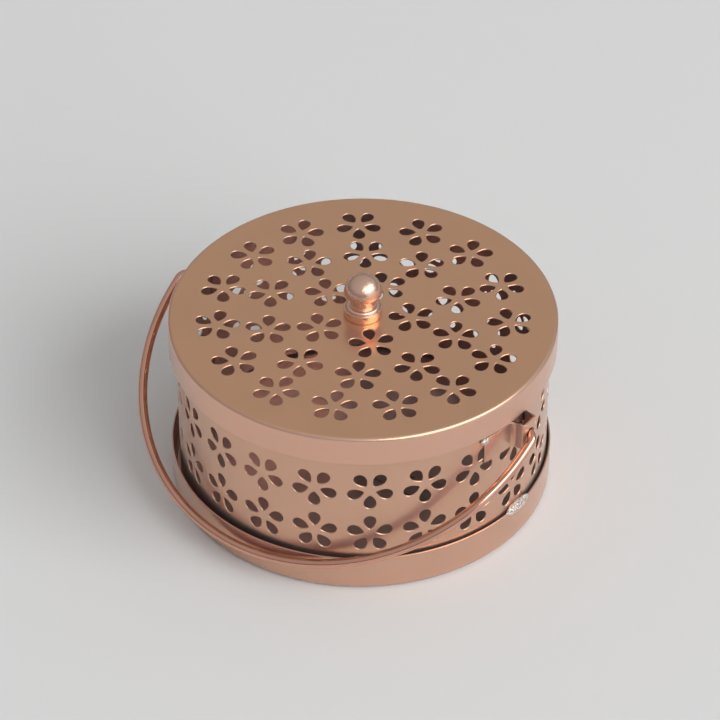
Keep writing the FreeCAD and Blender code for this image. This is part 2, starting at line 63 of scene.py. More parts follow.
BAND_X = (band_low[0] + band_high[0]) / 2
BAND_RADIUS = (band_high[0] - band_low[0]) / 2
BAND_FOOT, BAND_TOP = band_low[2], band_high[2]
LID_RADIUS = (lid_high[0] - lid_low[0]) / 2
LID_FOOT, LID_TOP = lid_low[2], lid_high[2]
DISH_RADIUS = (dish_high[0] - dish_low[0]) / 2
DISH_TOP = dish_high[2]
PIVOT = (ear_low[2] + ear_high[2]) / 2

# Sheet metal: wall, clearance, then the rounding of punched rims, of their burr side and of plain edges
WALL = 0.6
SEAT_GAP = 0.05
RIM_ROUND = 0.46
BURR_ROUND = 0.1
EDGE_ROUND = 0.2
LID_BEND = 1.4
LID_EDGE_ROUND = 0.25
DISH_BEND = 2.0
FLAT_MARGIN = 0.3
ROUND_STEPS = 288
LID_GRID = 4.0
DISH_GRID = 6.0
GRID_ROOM = 1.5

# Flower punch
PETALS = 5
PETAL_INNER = 2.5
PETAL_OUTER = 8.65
PETAL_WIDTH = 4.5
PETAL_POINTS = 26
PETAL_TAPER_SHARE = 0.62
SLIVER = 0.002

# Flowers of the lid: radius of the ring, angle of its first flower, pitch and count
LID_RINGS = ((18.4, 28.9, 72, 5), (37.0, 89.2, 35.7, 10), (55.3, 128.3, 23.85, 15))
LID_HOLE = 2.1

# Flowers of the band: height of each row and the way that one petal points, then the columns
ROWS = ((46.95, -90), (25.75, 90))
COLUMNS = 21
COLUMN_PITCH = 16.8
COLUMN_START = 190.95 - 360

# Seam of the band and its inner lap, then the mesh between the flowers
SEAM_HALF = 0.06
LAP_HALF = 4.0
LAP_GAP = 0.02
LAP_STEP = 2.0
LAP_ROWS = 13
BAND_STEP = 2.2
BAND_ROWS = 21
BAND_ROOM = 1.3
UPRIGHT_STEP = 5.0

# Ears
EAR_WALL = 0.8
EAR_HALF = 4.05
EAR_SPREAD = 15
EAR_BEND = 1.2
EAR_ROOT = 1.7
EAR_ROOT_MARGIN = 1.6
EAR_HOLE = 2.4
EAR_HOLE_SIDES = 40
EAR_FLANGE_STEPS = 12
EAR_STEP_ALONG = 0.4
EAR_STEP_UP = 0.9
EAR_ROWS = 12
EAR_ROOM = 0.5

# Knob over the lid: radius, height and rounding of each corner, from its top round to its bore
KNOB = ((0, 17.4, None), (7.2, 17.4, 7.0), (7.2, 10.2, 0.6), (6.8, 9.4, 0.5), (4.6, 8.6, 0.7),
        (4.6, 4.8, 0.3), (6.7, 4.8, 1.39), (6.7, 3.35, 0.1), (7.3, 3.35, 0.25), (7.3, 0, 0.35),
        (1.65, 0, 0.1), (1.65, 9.0, 0.1), (0, 9.0, None))
KNOB_STEPS = 144

# Bail
WIRE = 1.8
BAIL_BEND = 3.2
BAIL_LEG = 1.0
PIN_GAP = 1.5
WIRE_END = 0.6
WIRE_END_STEPS = 4
WIRE_SIDES = 28
BAIL_BEND_STEPS = 10
BAIL_ROUND_STEPS = 220

# Solder: angle and seed of each lump, length, width and height of each kind, and the mesh of a lump
TACKS = ((0.5, 3), (57.5, 11))
TACK_SIZE = (16.0, 3.8, 5.0)
SPOTS = ((0, 5), (180, 9))
SPOT_SIZE = (4.4, 1.8, 3.6)
SPOT_DROP = 1.0
LUMP_ROWS = 40
LUMP_SIDES = 64
LUMP_GRAIN = 0.16
LUMP_RAGGED = 0.14

# Rivets of the stand, along the floor of the dish
RIVETS = (-13, 37)
RIVET_HOLE = 1.25
RIVET_SIDES = 24
LID_HOLE_SIDES = 40

# Metals, in metres where a height is meant: lacquer, painted shade on the inward faces, and the heights where
# a colour fades
COAT_ROUGHNESS = 0.6
COAT_IOR = 2.4
# Painted shade: inward faces take this darker colour, as if shaded inside the box, and it fades in over the
# range below
INNER_SHADE = (0.50, 0.29, 0.23)
INNER_SHADE_FADE = (0.004, 0.02)
SKIRT_FADE = (0.0733, 0.07374)
FOOT_FADE = (0.0006, 0.0018)

# Stage in the camera's level frame, in metres: +x to its right and +y away from it
VIEW_TURN = math.radians(36.5)
FLOOR_HALF = 6
FLOOR_LEVEL = -0.00005
FLOOR_PAINT = (0.79, 0.79, 0.79, 1)
SKY_BRIGHT_SIDE = (0.62, -0.45, 0.64)
SKY_DARK, SKY_LIGHT = (0.36, 0.36, 0.36), (0.54, 0.54, 0.54)
ROOM_WALL = (0.10, 0.10, 0.10)
ROOM_WALL_TOP = (0.05, 0.42)

# Each lamp: name, place, width and height, power, and whether gloss alone sees it, or all the rest
LAMPS = (("window", (4.6, -3.4, 2.9), (6.3, 6.4), 440, False),
         ("gleam", (3.9, -2.9, 4.7), (7.8, 3.4), 330, True),
         ("low_gleam", (5.2, -3.8, 1.7), (7.0, 3.4), 48, True))
LAMP_TARGET = (0, 0, 0.03)

# Camera fitted to the lid's ellipse, the band and the dish of the photograph
CAMERA_ELEVATION = 39.1
CAMERA_DISTANCE = 1328.9
CAMERA_RIGHT, CAMERA_UP = -1.15, 37.56
CAMERA_AIM_HEIGHT = 2.65
LENS = 170.85
SENSOR = 36
CLIP_END = 50


def new_object(name, mesh, material, body):
    piece = bpy.data.objects.new(name, mesh)
    bpy.context.scene.collection.objects.link(piece)
    mesh.materials.append(material)
    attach(piece, body)
    return piece


def mesh_from(name, points, normals, faces):
    """A smooth mesh in metres, with its own normals where they are given."""
    mesh = bpy.data.meshes.new(name)
    mesh.from_pydata([(x * MM, y * MM, z * MM) for x, y, z in points], [], faces)
    mesh.validate()
    mesh.shade_smooth()
    if normals:
        mesh.normals_split_custom_set_from_vertices(normals)
    mesh.update()
    return mesh


def profile(corners):
    """Rows of place and normal along a line of corners, its normals to the left of the way along it.

    Each corner is (x, y, radius): a radius rounds the corner, and None marks a point of a smooth curve.
    """
    rows = []
    for index, (x, y, radius) in enumerate(corners):
        here = Vector((x, y))
        before = (here - Vector(corners[index - 1][:2])).normalized() if index else None
        after = (Vector(corners[index + 1][:2]) - here).normalized() if index < len(corners) - 1 else before
        before = before or after
        first = Vector((-before.y, before.x))
        if radius is None:
            normal = (first + Vector((-after.y, after.x))).normalized()
            rows.append((x, y, normal.x, normal.y))
            continue
        turn = math.atan2(before.x * after.y - before.y * after.x, before.dot(after))
        sign = 1 if turn > 0 else -1
        start = here - before * radius * math.tan(abs(turn) / 2)
        centre = start + first * radius * sign
        steps = max(round(math.degrees(abs(turn)) / (4 if radius > 3 else 10)), 3)
        for step in range(steps + 1):
            part = turn * step / steps
            normal = Vector((first.x * math.cos(part) - first.y * math.sin(part),
                             first.x * math.sin(part) + first.y * math.cos(part)))
            place = centre - normal * radius * sign
            rows.append((place.x, place.y, normal.x, normal.y))
    return rows


def turned(name, rows, steps, x, material, body):
    """A piece turned round a vertical axis from a profile that starts and ends on it."""
    points, normals, faces, starts = [], [], [], []
    for radius, height, out, up in rows:
        count = steps if radius > 1e-6 else 1
        starts.append((len(points), count))
        for step in range(count):
            turn = 2 * math.pi * step / steps
            points.append((x + radius * math.cos(turn), radius * math.sin(turn), height))
            normals.append((out * math.cos(turn), out * math.sin(turn), up) if count > 1 else (0, 0, up))
    for (first, count), (second, following) in zip(starts, starts[1:]):
        for step in range(steps):
            after = (step + 1) % steps
            if count == 1:
                faces.append((first, second + step, second + after))
            elif following == 1:
                faces.append((first + step, second, first + after))
            else:
                faces.append((first + step, second + step, second + after, first + after))
    return new_object(name, mesh_from(name, points, normals, faces), material, body)


def petal_outline(count=PETAL_POINTS):
    """Points of a petal along +x, counter-clockwise from its inner tip."""
    length = PETAL_OUTER - PETAL_INNER
    widest = (1 + PETAL_TAPER_SHARE) / (2 + PETAL_TAPER_SHARE)
    scale = 1 / (2 * math.sqrt(widest * (1 - widest)) * widest ** (PETAL_TAPER_SHARE / 2))
    points = []
    for index in range(count):
        turn = 2 * math.pi * (index + 0.5) / count
        along = (1 - math.cos(turn)) / 2
        wide = -math.sin(turn) * along ** (PETAL_TAPER_SHARE / 2) * scale
        points.append((PETAL_INNER + length * along, wide * PETAL_WIDTH / 2))
    return points


def outward(points):
    """The way out of a counter-clockwise outline at each point, long enough to move both edges by one."""
    sides = []
    for (x0, y0), (x1, y1) in zip(points, points[1:] + points[:1]):
        size = math.hypot(x1 - x0, y1 - y0)
        sides.append(((y1 - y0) / size, (x0 - x1) / size))
    result = []
    for (x0, y0), (x1, y1) in zip(sides[-1:] + sides, sides):
        share = 1 + x0 * x1 + y0 * y1
        result.append(((x0 + x1) / share, (y0 + y1) / share))
    return result


def flower_holes(u, v, facing):
    """The petals of a flower at u, v with one petal along the angle facing, in degrees."""
    holes = []
    for petal in range(PETALS):
        turn = math.radians(facing + 360 * petal / PETALS)
        cos, sin = math.cos(turn), math.sin(turn)
        holes.append([(u + x * cos - y * sin, v + x * sin + y * cos) for x, y in petal_outline()])
    return holes


def ring_of(u, v, radius, count):
    """Points round a circle, counter-clockwise."""
    turns = [2 * math.pi * index / count for index in range(count)]
    return [(u + radius * math.cos(turn), v + radius * math.sin(turn)) for turn in turns]


def edge_rings(wall, upper, lower):
    """Offset, depth and tilt of each ring of an edge, from the upper face round the wall to the lower."""
    rings = []
    for step in range(4):
        turn = math.pi / 2 * step / 3
        rings.append((upper * (1 - math.sin(turn)), upper * (1 - math.cos(turn)), turn))
    return rings + [(0.0, wall - lower, math.pi / 2), (lower, wall, math.pi)]


def inside(point, outline):
    x, y = point
    hit = False
    for (x1, y1), (x2, y2) in zip(outline, outline[1:] + outline[:1]):
        if (y1 > y) != (y2 > y) and x < (x2 - x1) * (y - y1) / (y2 - y1) + x1:
            hit = not hit
    return hit


def is_sliver(corners):
    """True for a triangle between points in one line, as on a straight border."""
    first, second, third = corners
    area = abs((second - first).cross(third - first))
    longest = max((second - first).length, (third - second).length, (first - third).length)
    return area < SLIVER * longest


class Holes:
    """Outlines sorted into cells, so that only the near ones are looked at."""

    def __init__(self, outlines, cell=12):
        self.cell = cell
        self.cells = {}
        for outline in outlines:
            middle = [sum(values) / len(outline) for values in zip(*outline)]
            self.cells.setdefault(self.key(middle), []).append(outline)

    def key(self, point):
        return round(point[0] / self.cell), round(point[1] / self.cell)

    def near(self, point):
        across, up = self.key(point)
        return [outline for du in (-1, 0, 1) for dv in (-1, 0, 1)
                for outline in self.cells.get((across + du, up + dv), [])]

    def holds(self, point):
        return any(inside(point, outline) for outline in self.near(point))

    def clear(self, point, room):
        """True where the point is outside every outline and further than room from their points."""
        return not self.holds(point) and all(
            math.hypot(point[0] - x, point[1] - y) > room
            for outline in self.near(point) for x, y in outline)


def sheet(border, holes, seeds, space, wall=WALL, upper=RIM_ROUND, lower=BURR_ROUND, open_border=False):
    """Points, normals and faces of a bent sheet, and the loops of a border that is left open.

    border and holes are counter-clockwise outlines in the sheet's own plane, seeds are points between
    them, and space(u, v) gives a place on the upper face, its normal and the directions of u and v.
    """
    points, normals, faces = [], [], []

    def add(u, v, depth, tilt=0.0, toward=(0.0, 0.0)):
        place, normal, along_u, along_v = space(u, v)
        side = along_u * toward[0] + along_v * toward[1]
        points.append(tuple(place - normal * depth))
        normals.append(tuple((normal * math.cos(tilt) + side * math.sin(tilt)).normalized()))
        return len(points) - 1

    flat = {"upper": [], "lower": []}
    for outline, sign in [(hole, -1) for hole in holes] + ([] if open_border else [(border, 1)]):
        strips = []
        for offset, depth, tilt in edge_rings(wall, upper, lower):
            strip = []
            for (u, v), (du, dv) in zip(outline, outward(outline)):
                spot = (u - sign * du * offset, v - sign * dv * offset)
                strip.append((add(*spot, depth, tilt, (sign * du, sign * dv)), spot))
            strips.append(strip)
        for strip, following in zip(strips, strips[1:]):
            for index in range(len(outline)):
                after = (index + 1) % len(outline)
                quad = [strip[index][0], strip[after][0], following[after][0], following[index][0]]
                faces.append(quad if sign < 0 else quad[::-1])
        flat["upper"].append(strips[0])
        flat["lower"].append(strips[-1])
    loops = {}
    for side, depth, tilt in (("upper", 0.0, 0.0), ("lower", wall, math.pi)):
        strips = list(flat[side])
        if open_border:
            strips.append([(add(u, v, depth, tilt), (u, v)) for u, v in border])
            loops[side] = [number for number, spot in strips[-1]]
        plan, edges = [], []
        for strip in strips:
            start = len(plan)
            plan += strip
            edges += [(start + index, start + (index + 1) % len(strip)) for index in range(len(strip))]
        plan += [(add(u, v, depth, tilt), (u, v)) for u, v in seeds]
        spots = [Vector(spot) for number, spot in plan]
        found, _, triangles, _, _, _ = geometry.delaunay_2d_cdt(spots, edges, [], 0, 1e-5)
        cut = Holes([[spot for number, spot in strip] for strip in flat[side][:len(holes)]])
        for triangle in triangles:
            corners = [found[index] for index in triangle]
            middle = sum(corners, Vector((0, 0))) / 3
            if is_sliver(corners) or cut.holds(middle):
                continue
            if max(triangle) >= len(plan):
                raise RuntimeError("the sheet's outlines cross")
            face = [plan[index][0] for index in triangle]
            faces.append(face if side == "upper" else face[::-1])
    return points, normals, faces, loops


def cylinder_space(radius, x):
    """A sheet bent round a vertical axis: u runs round it and v up it."""
    def space(u, v):
        turn = u / radius
        normal = Vector((math.cos(turn), math.sin(turn), 0))
        along = Vector((-math.sin(turn), math.cos(turn), 0))
        return Vector((x, 0, v)) + normal * radius, normal, along, Vector((0, 0, 1))
    return space


def flat_space(x, z):
    """A flat sheet that faces up."""
    def space(u, v):
        return Vector((x + u, v, z)), Vector((0, 0, 1)), Vector((1, 0, 0)), Vector((0, 1, 0))
    return space


def bent_space(rows, x, sign):
    """An upright strip bent along the rows of a plan: u runs back along them and v up. Also its length."""
    lengths = [0.0]
    for (x0, y0, _, _), (x1, y1, _, _) in zip(rows, rows[1:]):
        lengths.append(lengths[-1] + math.hypot(x1 - x0, y1 - y0))

    def space(u, v):
        way = min(max(lengths[-1] - u, 0.0), lengths[-1])
        index = min(max(bisect_left(lengths, way), 1), len(rows) - 1)
        share = (way - lengths[index - 1]) / (lengths[index] - lengths[index - 1])
        px, py, nx, ny = (a + (b - a) * share for a, b in zip(rows[index - 1], rows[index]))
        place = Vector((x + sign * px, sign * py, v))
        normal = Vector((nx, ny, 0)).normalized() * sign
        return place, normal, Vector((-normal.y, normal.x, 0)), Vector((0, 0, 1))
    return space, lengths[-1]


def rectangle(u0, v0, u1, v1, step_u, step_v):
    """A counter-clockwise rectangle with points along its sides."""
    across = max(round((u1 - u0) / step_u), 1)
    up = max(round((v1 - v0) / step_v), 1)
    points = [(u0 + (u1 - u0) * index / across, v0) for index in range(across)]
    points += [(u1, v0 + (v1 - v0) * index / up) for index in range(up)]
    points += [(u1 - (u1 - u0) * index / across, v1) for index in range(across)]
    points += [(u0, v1 - (v1 - v0) * index / up) for index in range(up)]
    return points


def node(tree, kind, **values):
    made = tree.nodes.new(kind)
    for name, value in values.items():
        if name in made.inputs:
            made.inputs[name].default_value = value
        else:
            setattr(made, name, value)
    return made


def mapped(tree, source, low, high, to_low, to_high):
    """A value carried from one range to another, kept within it."""
    made = node(tree, "ShaderNodeMapRange")
    for name, value in (("From Min", low), ("From Max", high), ("To Min", to_low), ("To Max", to_high)):
        made.inputs[name].default_value = value
    tree.links.new(source, made.inputs["Value"])
    return made.outputs["Result"]


def mixed(tree, share, first, second):
    """From the first colour to the second, by a share. Each colour is a tuple or an output."""
    made = node(tree, "ShaderNodeMix", data_type="RGBA")
    tree.links.new(share, made.inputs[0])
    for slot, colour in ((made.inputs[6], first), (made.inputs[7], second)):
        if isinstance(colour, tuple):
            slot.default_value = (*colour, 1)
        else:
            tree.links.new(colour, slot)
    return made.outputs[2]


def texture(tree, kind, place, **values):
    made = node(tree, kind, **values)
    tree.links.new(place, made.inputs["Vector"])
    return made.outputs[0]


def new_metal(name, coat=0.0):
    """A metallic material under clear lacquer, its node tree, its shader and the place on the object."""
    material = bpy.data.materials.new(name)
    material.use_nodes = True
    tree = material.node_tree
    shader = tree.nodes["Principled BSDF"]
    shader.inputs["Metallic"].default_value = 1.0
    shader.inputs["Coat Weight"].default_value = coat
    shader.inputs["Coat Roughness"].default_value = COAT_ROUGHNESS
    shader.inputs["Coat IOR"].default_value = COAT_IOR
    return material, tree, shader, node(tree, "ShaderNodeTexCoord").outputs["Object"]


def bumped(tree, shader, *layers):
    """Layers of bump, each a height, a strength and a distance, one over the other."""
    normal = None
    for height, strength, distance in layers:
        bump = node(tree, "ShaderNodeBump", Strength=strength, Distance=distance)
        tree.links.new(height, bump.inputs["Height"])
        if normal:
            tree.links.new(normal, bump.inputs["Normal"])
        normal = bump.outputs["Normal"]
    tree.links.new(normal, shader.inputs["Normal"])


def painted_inner_shade(tree, place, colour, inner):
    """The colour outside, and inner, a painted shade, on the faces that look towards the box's middle."""
    facing = node(tree, "ShaderNodeVectorMath", operation="DOT_PRODUCT")
    tree.links.new(place, facing.inputs[0])
    tree.links.new(node(tree, "ShaderNodeNewGeometry").outputs["Normal"], facing.inputs[1])
    return mixed(tree, mapped(tree, facing.outputs["Value"], *INNER_SHADE_FADE, 0, 1), inner, colour)


def below(tree, place, full, none):
    """A share that grows from the height none down to the height full."""
    height = node(tree, "ShaderNodeSeparateXYZ")
    tree.links.new(place, height.inputs["Vector"])
    return mapped(tree, height.outputs["Z"], none, full, 0, 1)


def plated(name, light, dark, roughness, grain=0.04, waves=0.03, coat=1.0,
           foot=None, skirt=None, inner=None):
    """Plated metal: cloudy colour, fine grain and a slightly uneven surface.

    foot is a colour that the plating takes in patches low down, skirt the colour of the lid's sides, and
    inner a painted shade: a darker colour on the faces that look inwards, where the inside of the box is
    shaded.
    """
    material, tree, shader, place = new_metal(name, coat)
    clouds = texture(tree, "ShaderNodeTexNoise", place, Scale=60.0, Detail=5.0, Roughness=0.6)
    fine = texture(tree, "ShaderNodeTexNoise", place, Scale=2200.0, Detail=3.0, Roughness=0.7)
    wide = texture(tree, "ShaderNodeTexNoise", place, Scale=30.0, Detail=2.0, Roughness=0.5)
    colour = mixed(tree, mapped(tree, clouds, 0.35, 0.65, 0, 1), dark, light)
    rough = mapped(tree, fine, 0.3, 0.7, roughness * 0.9, roughness * 1.1)
    if skirt:
        colour = mixed(tree, below(tree, place, *SKIRT_FADE), colour, skirt)
    if foot:
        crust = texture(tree, "ShaderNodeTexNoise", place, Scale=700.0, Detail=4.0, Roughness=0.65)
        patch = node(tree, "ShaderNodeMath", operation="MULTIPLY")
        tree.links.new(below(tree, place, *FOOT_FADE), patch.inputs[0])
        tree.links.new(mapped(tree, crust, 0.42, 0.56, 0, 1), patch.inputs[1])
        colour = mixed(tree, patch.outputs["Value"], colour, foot)
    # Painted shade on the faces that look inwards
    if inner:
        colour = painted_inner_shade(tree, place, colour, inner)
    tree.links.new(colour, shader.inputs["Base Color"])
    tree.links.new(rough, shader.inputs["Roughness"])
    bumped(tree, shader, (wide, waves, 0.01), (fine, grain, 0.0002))
    return material


def soldered(name):
    """Rough, glittering solder: pale grains in copper-coloured plating."""
    material, tree, shader, place = new_metal(name)
    grains = texture(tree, "ShaderNodeTexVoronoi", place, Scale=1500.0)
    lumps = texture(tree, "ShaderNodeTexNoise", place, Scale=900.0, Detail=4.0, Roughness=0.7)
    share = mapped(tree, lumps, 0.4, 0.6, 0, 1)
    tree.links.new(mixed(tree, share, (0.62, 0.50, 0.43), (0.94, 0.92, 0.89)), shader.inputs["Base Color"])
    tree.links.new(mapped(tree, lumps, 0.3, 0.7, 0.22, 0.5), shader.inputs["Roughness"])
    bumped(tree, shader, (lumps, 0.5, 0.0006), (grains, 0.9, 0.0004))
    return material


# inner paints shade on each sheet's inward faces
copper_sheet = plated("copper_sheet", (0.70, 0.36, 0.205), (0.64, 0.325, 0.18), 0.24, inner=INNER_SHADE)
dish_sheet = plated("dish_sheet", (0.70, 0.365, 0.215), (0.63, 0.325, 0.19), 0.24,
                    foot=(0.42, 0.26, 0.28), inner=INNER_SHADE)
lid_sheet = plated("lid_sheet", (0.79, 0.36, 0.14), (0.74, 0.335, 0.125), 0.24,
                   skirt=(0.75, 0.38, 0.235), inner=INNER_SHADE)
copper_polish = plated("copper_polish", (0.86, 0.53, 0.39), (0.74, 0.42, 0.29), 0.20,
                       grain=0.35, waves=0.12, coat=0.5)
wire_polish = plated("wire_polish", (0.78, 0.42, 0.31), (0.70, 0.37, 0.27), 0.06, grain=0.05, coat=0.0)
solder_metal = soldered("solder_metal")
steel = plated("steel", (0.40, 0.33, 0.29), (0.30, 0.25, 0.22), 0.34, coat=0.0)


def make_band():
    """Pierced band, its two ends meeting behind the left ear over an inner lap."""
    holes = []
    for height, facing in ROWS:
        for column in range(COLUMNS):
            angle = COLUMN_START + COLUMN_PITCH * column
            holes += flower_holes(math.radians(angle) * BAND_RADIUS, height, facing)
    half = math.pi * BAND_RADIUS
    rise = (BAND_TOP - BAND_FOOT) / BAND_ROWS
    border = rectangle(-half + SEAM_HALF, BAND_FOOT, half - SEAM_HALF, BAND_TOP, BAND_STEP, UPRIGHT_STEP)
    clear = Holes(holes)
    seeds = [(-half + BAND_STEP * index, BAND_FOOT + rise * (row + 0.5))
             for index in range(1, int(2 * half / BAND_STEP)) for row in range(BAND_ROWS)]
    seeds = [seed for seed in seeds if clear.clear(seed, BAND_ROOM)]
    made = sheet(border, holes, seeds, cylinder_space(BAND_RADIUS, BAND_X))
    band = new_object("pierced_band", mesh_from("pierced_band", *made[:3]), copper_sheet, "box")

    inner = BAND_RADIUS - WALL - LAP_GAP
    middle = math.pi * inner
    border = rectangle(middle - LAP_HALF, BAND_FOOT, middle + LAP_HALF, BAND_TOP, LAP_STEP, UPRIGHT_STEP)
    seeds = [(middle + LAP_STEP * index, BAND_FOOT + UPRIGHT_STEP * row)
             for index in (-1, 0, 1) for row in range(1, LAP_ROWS + 1)]
    made = sheet(border, [], seeds, cylinder_space(inner, BAND_X), upper=EDGE_ROUND)
    lap = new_object("band_lap", mesh_from("band_lap", *made[:3]), copper_sheet, "box")
    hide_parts("body_band")


def pressed(name, flat, height, holes, grid, corners, x, material, body):
    """A round pressed sheet: a flat middle with holes, and a section of corners that runs round it.

    The section starts at the flat's upper face and ends at its lower face.
    """
    border = ring_of(0, 0, flat, ROUND_STEPS)
    count = int(flat / grid)
    clear = Holes(holes)
    seeds = [(grid * i, grid * j) for i in range(-count, count + 1) for j in range(-count, count + 1)
             if math.hypot(grid * i, grid * j) < flat - grid / 2]
    seeds = [seed for seed in seeds if clear.clear(seed, GRID_ROOM)]
    points, normals, faces, loops = sheet(border, holes, seeds, flat_space(x, height), open_border=True)
    rings = [loops["upper"]]
    for radius, level, out, up in profile(corners)[1:-1]:
        rings.append(range(len(points), len(points) + ROUND_STEPS))
        points += [(x + u, v, level) for u, v in ring_of(0, 0, radius, ROUND_STEPS)]
        normals += [(u, v, up) for u, v in ring_of(0, 0, out, ROUND_STEPS)]
    rings.append(loops["lower"])
    for ring, following in zip(rings, rings[1:]):
        for step in range(ROUND_STEPS):
            after = (step + 1) % ROUND_STEPS
            faces.append((ring[step], following[step], following[after], ring[after]))
    return new_object(name, mesh_from(name, points, normals, faces), material, body)


def make_lid():
    """Pressed lid: a pierced flat top, a rounded bend and a plain skirt."""
    holes = [ring_of(0, 0, LID_HOLE, LID_HOLE_SIDES)]
    for radius, start, pitch, count in LID_RINGS:
        for index in range(count):
            angle = start + pitch * index
            turn = math.radians(angle)
            holes += flower_holes(radius * math.cos(turn), radius * math.sin(turn), angle + 180)
    flat = LID_RADIUS - LID_BEND - FLAT_MARGIN
    inner = LID_RADIUS - WALL
    corners = [(flat, LID_TOP, None), (LID_RADIUS, LID_TOP, LID_BEND),
               (LID_RADIUS, LID_FOOT, LID_EDGE_ROUND), (inner, LID_FOOT, LID_EDGE_ROUND),
               (inner, LID_TOP - WALL, LID_BEND - WALL), (flat, LID_TOP - WALL, None)]
    lid = pressed("pierced_lid", flat, LID_TOP, holes, LID_GRID, corners, BAND_X, lid_sheet, "lid")
    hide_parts("lid_shell")


def make_dish():
    """Shallow tray with a bent foot and a plain rim."""
    flat = DISH_RADIUS - DISH_BEND - FLAT_MARGIN
    inner = DISH_RADIUS - WALL
    holes = [ring_of(x, 0, RIVET_HOLE, RIVET_SIDES) for x in RIVETS]
    corners = [(flat, WALL, None), (inner, WALL, DISH_BEND - WALL), (inner, DISH_TOP, EDGE_ROUND),
               (DISH_RADIUS, DISH_TOP, EDGE_ROUND), (DISH_RADIUS, 0, DISH_BEND), (flat, 0, None)]
    dish = pressed("pressed_dish", flat, WALL, holes, DISH_GRID, corners, 0, dish_sheet, "box")
    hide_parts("dish")


def make_knob():
    """Polished knob: foot with eased edges, bead, neck and a domed head, bored for its screw."""
    rows = profile([(x, LID_TOP + y, radius) for x, y, radius in KNOB])
    knob = turned("turned_knob", rows, KNOB_STEPS, BAND_X, copper_polish, "lid")
    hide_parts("knob")


def make_ear(name, sign, cad_name):
    """Pressed strap: two flanges that lie on the band, and a box between them that holds the bail."""
    low, high = box_mm(cad_name)
    face = abs((high[0] if sign > 0 else low[0]) - BAND_X)
    lie = BAND_RADIUS + SEAT_GAP + EAR_WALL
    root = math.sqrt(lie * lie - EAR_HALF * EAR_HALF)
    bend_end = math.degrees(math.asin(EAR_HALF / lie)) + EAR_ROOT_MARGIN
    turns = [math.radians(EAR_SPREAD + (bend_end - EAR_SPREAD) * step / EAR_FLANGE_STEPS)
             for step in range(EAR_FLANGE_STEPS + 1)]
    flange = [(lie * math.cos(turn), lie * math.sin(turn), None) for turn in turns]
    half_plan = flange + [(root, EAR_HALF, EAR_ROOT), (face, EAR_HALF, EAR_BEND)]
    plan = half_plan + [(x, -y, radius) for x, y, radius in reversed(half_plan)]
    space, length = bent_space(profile(plan), BAND_X, sign)
    hole = ring_of(length / 2, PIVOT, EAR_HOLE, EAR_HOLE_SIDES)
    clear = Holes([hole])
    seeds = [(EAR_STEP_ALONG * (index + 0.5), low[2] + EAR_STEP_UP * row)
             for index in range(1, int(length / EAR_STEP_ALONG) - 1) for row in range(1, EAR_ROWS)]
    seeds = [seed for seed in seeds if clear.clear(seed, EAR_ROOM)]
    border = rectangle(0, low[2], length, high[2], EAR_STEP_ALONG, EAR_STEP_UP)
    made = sheet(border, [hole], seeds, space, wall=EAR_WALL, upper=EDGE_ROUND)
    ear = new_object(name, mesh_from(name, *made[:3]), copper_sheet, "box")
    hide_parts(cad_name)


def bail_path():
    """The wire's middle line, from the right pin's end round to the left pin's, and the plane's normal."""
    right, left = bail_high[0] - WIRE, bail_low[0] + WIRE
    radius, middle = (right - left) / 2, (right + left) / 2
    drop = BAIL_BEND + BAIL_LEG
    tilt = math.asin((PIVOT - bail_low[2] - WIRE) / (drop + radius))
    pin = BAND_RADIUS + PIN_GAP
    quarter = [math.pi / 2 * step / BAIL_BEND_STEPS for step in range(BAIL_BEND_STEPS + 1)]
    half = [math.pi * step / BAIL_ROUND_STEPS for step in range(BAIL_ROUND_STEPS + 1)]
    way = [(BAND_X + pin, 0)]
    way += [(right - BAIL_BEND + BAIL_BEND * math.sin(turn), -BAIL_BEND + BAIL_BEND * math.cos(turn))
            for turn in quarter]
    way += [(middle + radius * math.cos(turn), -drop - radius * math.sin(turn)) for turn in half]
    way += [(left + BAIL_BEND - BAIL_BEND * math.cos(turn), -BAIL_BEND + BAIL_BEND * math.sin(turn))
            for turn in quarter]
    way += [(BAND_X - pin, 0)]
    path = [Vector((x, y * math.cos(tilt), PIVOT + y * math.sin(tilt))) for x, y in way]
    return path, Vector((0, math.sin(tilt), -math.cos(tilt)))


def make_bail():
    """Bent wire: two pins through the ears, short legs and a half circle."""
    path, side = bail_path()
    points, normals, faces, rings = [], [], [], []

    def ring(centre, along, size, tilt):
        across = along.cross(side).normalized()
        rings.append(range(len(points), len(points) + WIRE_SIDES))
        for step in range(WIRE_SIDES):
            turn = 2 * math.pi * step / WIRE_SIDES
            out = side * math.cos(turn) + across * math.sin(turn)
            points.append(tuple(centre + out * size))
            normals.append(tuple(out * math.cos(tilt) + along * math.sin(tilt)))

    def end_rings(tip, along, back):
        """The rounded end of the wire, where along points out of the wire's middle line."""
        turns = [math.pi / 2 * step / WIRE_END_STEPS for step in range(1, WIRE_END_STEPS + 1)]
        for turn in (reversed(turns) if back else turns):
            outer = along * (-1 if back else 1)
            centre = tip - outer * WIRE_END * (1 - math.sin(turn))
            ring(centre, along, WIRE - WIRE_END * (1 - math.cos(turn)), -turn if back else turn)

    first_way, last_way = (path[1] - path[0]).normalized(), (path[-1] - path[-2]).normalized()
    end_rings(path[0], first_way, True)
    for before, here, after in zip(path, path[1:], path[2:]):
        ring(here, (after - before).normalized(), WIRE, 0)
    end_rings(path[-1], last_way, False)
    for first, second in zip(rings, rings[1:]):
        for step in range(WIRE_SIDES):
            after = (step + 1) % WIRE_SIDES
            faces.append((first[step], first[after], second[after], second[step]))
    tips = ((rings[0], path[0], -first_way, -1), (rings[-1], path[-1], last_way, 1))
    for numbers, tip, normal, sense in tips:
        points.append(tuple(tip))
        normals.append(tuple(normal))
        for step in range(WIRE_SIDES):
            faces.append((len(points) - 1, numbers[step], numbers[(step + 1) % WIRE_SIDES])[::sense])
    bail = new_object("bail_wire", mesh_from("bail_wire", points, normals, faces), wire_polish, "bail")
    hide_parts("bail_handle")


